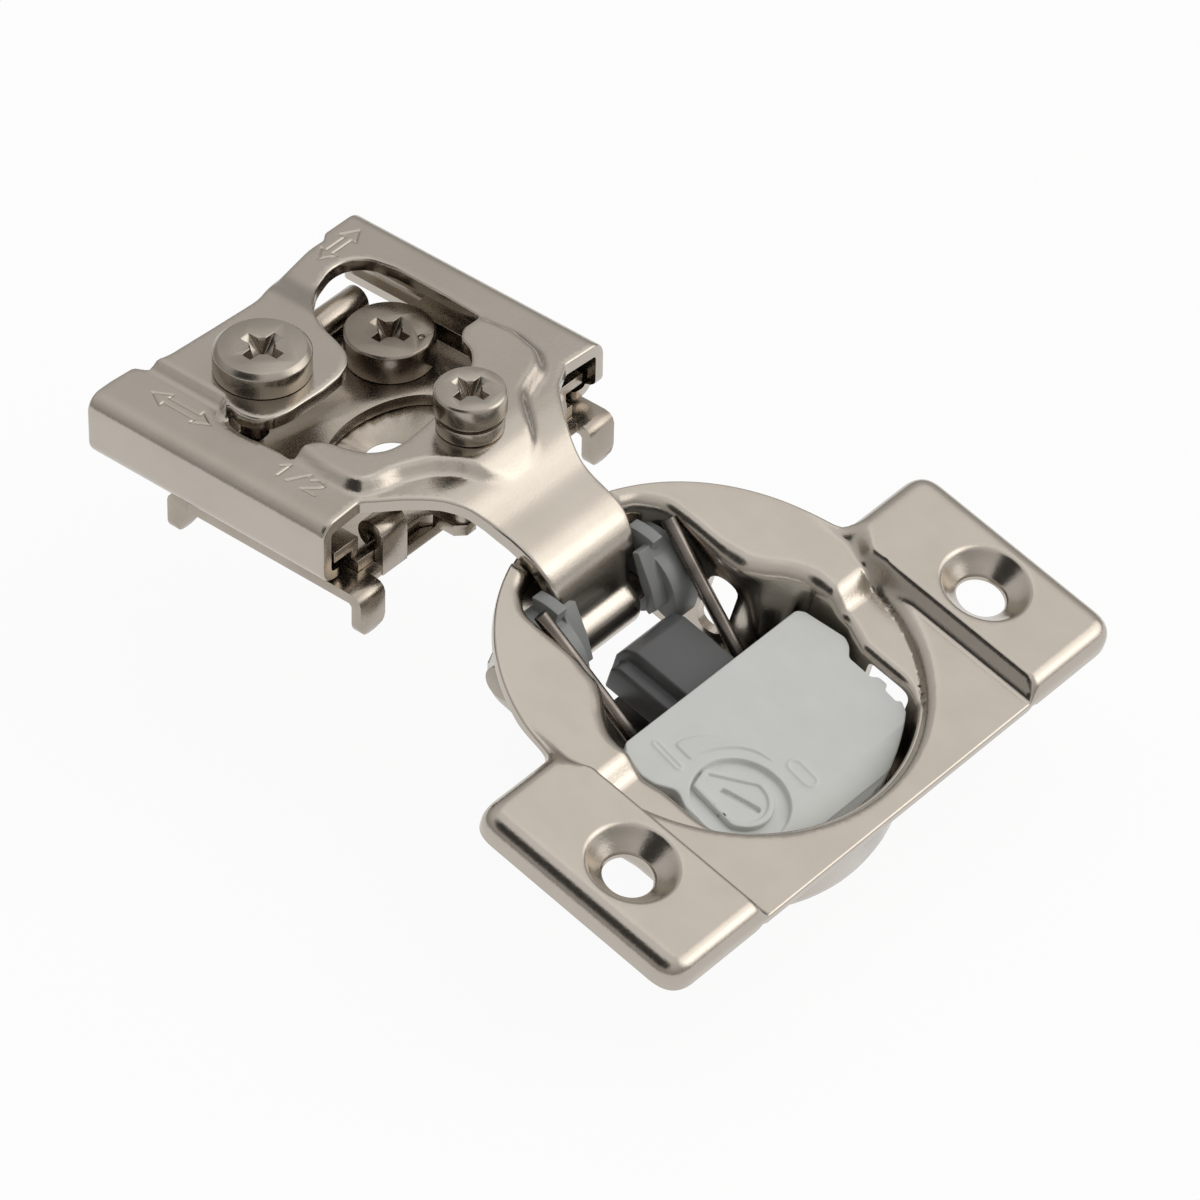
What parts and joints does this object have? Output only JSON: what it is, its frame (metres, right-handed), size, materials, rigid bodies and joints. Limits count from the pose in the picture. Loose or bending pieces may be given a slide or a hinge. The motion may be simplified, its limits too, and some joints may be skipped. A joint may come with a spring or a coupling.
{
  "type": "concealed cup hinge",
  "caption": "Compact face-frame concealed cabinet hinge, fully open, with adjusting cams, a pressed cup on a pinned arm, self-closing spring and soft-close damper.",
  "frame": {"origin": "middle of the base plate's screw hole on the face that lies against the frame edge", "axes": "+X from the base towards the cup, +Y along the edge of the frame, +Z out of the frame edge; the hinge is fully open"},
  "size_m": [0.0723, 0.0568, 0.0294],
  "materials": {
    "nickel_sheet": "satin nickel plate",
    "nickel_screw": "satin nickel plate, darker",
    "light_grey_plastic": "matte moulding",
    "mid_grey_plastic": "matte moulding",
    "dark_grey_plastic": "satin moulding",
    "spring_steel": "oiled wire"
  },
  "bodies": {
    "base": {"base_plate": "nickel_sheet"},
    "height_slide": {"slide_plate": "nickel_sheet"},
    "height_adjuster": {"height_cam": "nickel_screw"},
    "depth_slide": {"side_shoe": "nickel_screw"},
    "hinge_arm": {"arm": "nickel_sheet", "cam_left": "mid_grey_plastic", "cam_right": "mid_grey_plastic"},
    "depth_adjuster": {"depth_cam": "nickel_screw", "depth_cam_washer": "nickel_screw"},
    "side_adjuster": {"side_screw": "nickel_screw", "side_screw_ring": "nickel_screw"},
    "cup_body": {"cup": "nickel_sheet", "hinge_pin": "nickel_screw", "closing_spring": "spring_steel", "damper_housing": "light_grey_plastic", "damper_cover": "light_grey_plastic", "damper_rod": "spring_steel", "damper_piston": "light_grey_plastic", "damper_spring": "spring_steel"},
    "damper": {"damper_slider": "dark_grey_plastic", "damper_cylinder": "dark_grey_plastic", "damper_gland": "dark_grey_plastic"},
    "switch": {"damper_switch": "light_grey_plastic"}
  },
  "joints": [
    {"name": "height_adjust", "type": "slide", "parent": "base", "child": "height_slide", "axis": [0, 1, 0], "range_m": [-0.00103, 0.00103]},
    {"name": "height_cam_turn", "type": "hinge", "parent": "height_slide", "child": "height_adjuster", "pos_m": [-0.0076, 0.0084, 0.002], "axis": [0, 0, 1], "range_deg": [-45, 45]},
    {"name": "depth_adjust", "type": "slide", "parent": "height_slide", "child": "depth_slide", "axis": [1, 0, 0], "range_m": [-0.00103, 0.00103]},
    {"name": "side_adjust", "type": "slide", "parent": "depth_slide", "child": "hinge_arm", "axis": [0, 0, 1], "range_m": [0, 0.0007]},
    {"name": "depth_cam_turn", "type": "hinge", "parent": "hinge_arm", "child": "depth_adjuster", "pos_m": [-0.0092, -0.0056, 0.008], "axis": [0, 0, 1], "range_deg": [-45, 45]},
    {"name": "side_screw_turn", "type": "hinge", "parent": "hinge_arm", "child": "side_adjuster", "pos_m": [0.00845, 0, 0.008], "axis": [0, 0, 1], "range_deg": [0, 360]},
    {"name": "cup_fold", "type": "hinge", "parent": "hinge_arm", "child": "cup_body", "pos_m": [0.02137, 0, -0.00486], "axis": [0, -1, 0], "range_deg": [0, 105]},
    {"name": "damper_slide", "type": "slide", "parent": "cup_body", "child": "damper", "axis": [0.9659, 0, -0.2588], "range_m": [0, 0.0049], "deforming": ["damper_spring"]},
    {"name": "switch_turn", "type": "hinge", "parent": "cup_body", "child": "switch", "pos_m": [0.04385, -0.0079, -0.00633], "axis": [-0.2588, 0, -0.9659], "range_deg": [0, 110]}
  ],
  "couplings": [
    {"joint": "height_cam_turn", "follows": "height_adjust", "rad_per_m": -766.24},
    {"joint": "depth_cam_turn", "follows": "depth_adjust", "rad_per_m": -766.24},
    {"joint": "side_screw_turn", "follows": "side_adjust", "rad_per_m": 8975.9},
    {"joint": "damper_slide", "follows": "cup_fold", "m_per_rad": 0.0026738}
  ]
}
